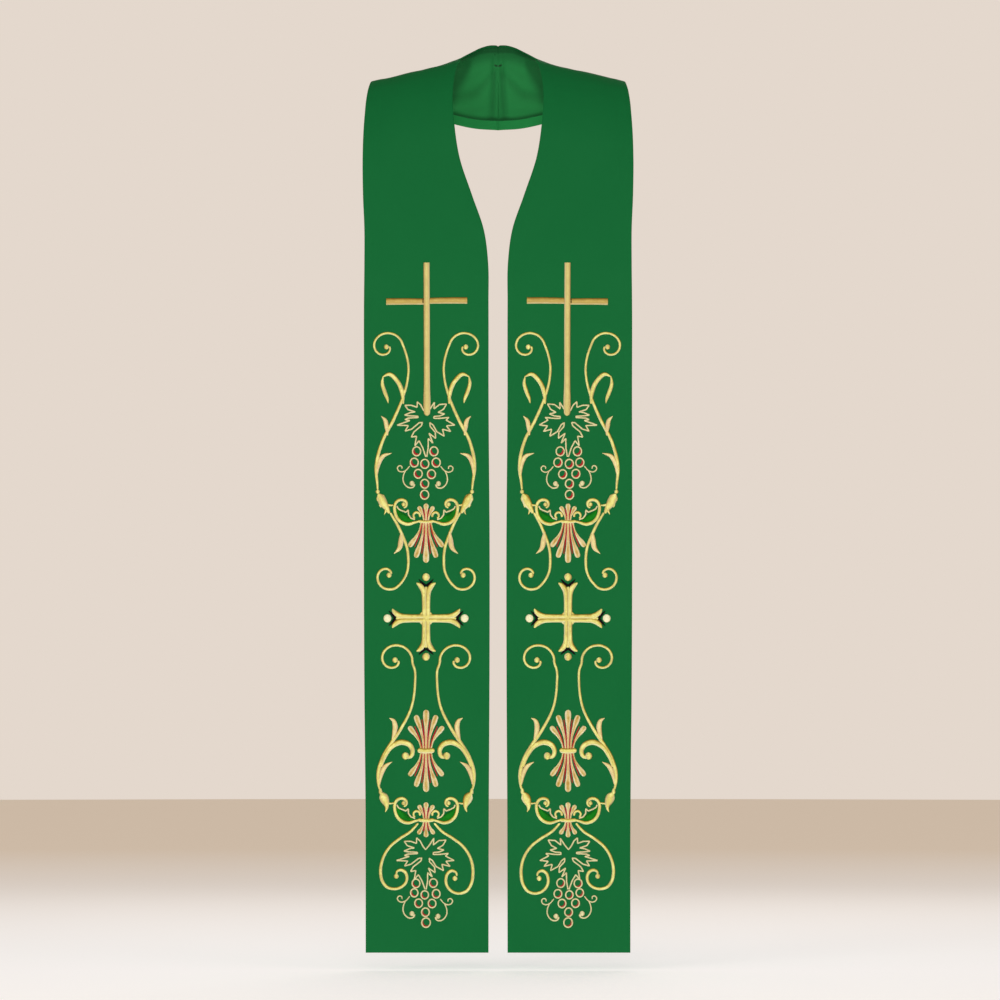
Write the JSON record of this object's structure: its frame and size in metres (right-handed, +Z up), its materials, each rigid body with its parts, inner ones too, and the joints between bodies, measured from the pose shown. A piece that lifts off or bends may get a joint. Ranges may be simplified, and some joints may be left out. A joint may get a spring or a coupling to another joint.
{
  "type": "clerical stole",
  "caption": "Lined clerical stole in its worn shape, open at the neck, with two straight embroidered fronts and a seam at the centre back.",
  "frame": {"origin": "midway between the two shoulders, at the height where they carry the stole", "axes": "+X to the right seen from the front, +Y to the wearer's back, +Z up; the fronts hang towards -Z and face -Y"},
  "size_m": [0.3444, 0.1442, 1.1578],
  "materials": {
    "panel_cloth": "plain green woven cloth, matt with a faint sheen",
    "lining_cloth": "lighter green lining with a soft satin sheen",
    "gold_thread": "metallic gold thread in raised satin stitch",
    "cream_thread": "cream outline thread",
    "white_thread": "off-white satin stitch",
    "red_thread": "deep red satin stitch",
    "leaf_thread": "bright green satin stitch",
    "black_thread": "black satin stitch"
  },
  "bodies": {
    "root": {"panel_left": "panel_cloth", "panel_right": "panel_cloth", "lining_left": "lining_cloth", "lining_right": "lining_cloth"}
  },
  "joints": []
}
